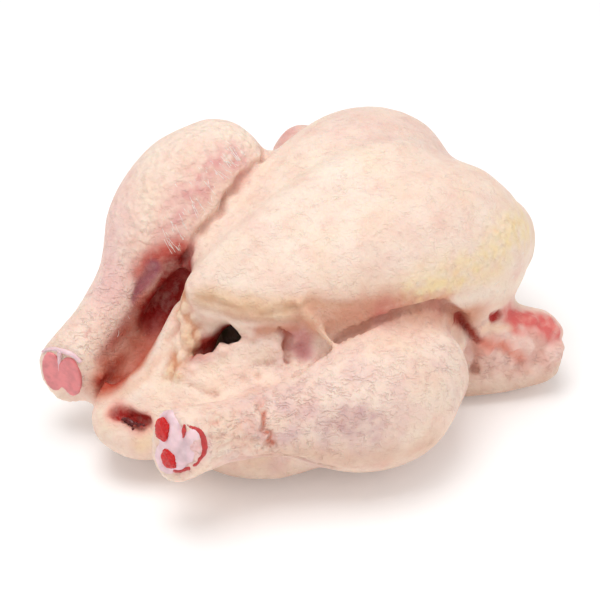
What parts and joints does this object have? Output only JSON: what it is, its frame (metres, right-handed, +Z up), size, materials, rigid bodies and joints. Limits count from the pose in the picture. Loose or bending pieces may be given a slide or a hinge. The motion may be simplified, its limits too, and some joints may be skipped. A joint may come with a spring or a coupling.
{
  "type": "whole raw chicken",
  "caption": "Oven-ready raw chicken lying on its back, breast up, feet cut off at the hocks, with an open body cavity.",
  "frame": {"origin": "on the table, under the middle of the bird's box", "axes": "+X from the tail to the neck, +Y towards the raised leg, +Z up from the back to the breast"},
  "size_m": [0.211, 0.1626, 0.1081],
  "materials": {
    "skin": "moist pale pink and cream poultry skin",
    "bone": "wet pinkish-white cartilage and bone",
    "marrow": "wet granular red marrow"
  },
  "bodies": {
    "root": {"chicken": "skin", "near_shank_bone": "bone", "far_shank_bone": "bone", "near_marrow_upper": "marrow", "near_marrow_lower": "marrow"}
  },
  "joints": []
}
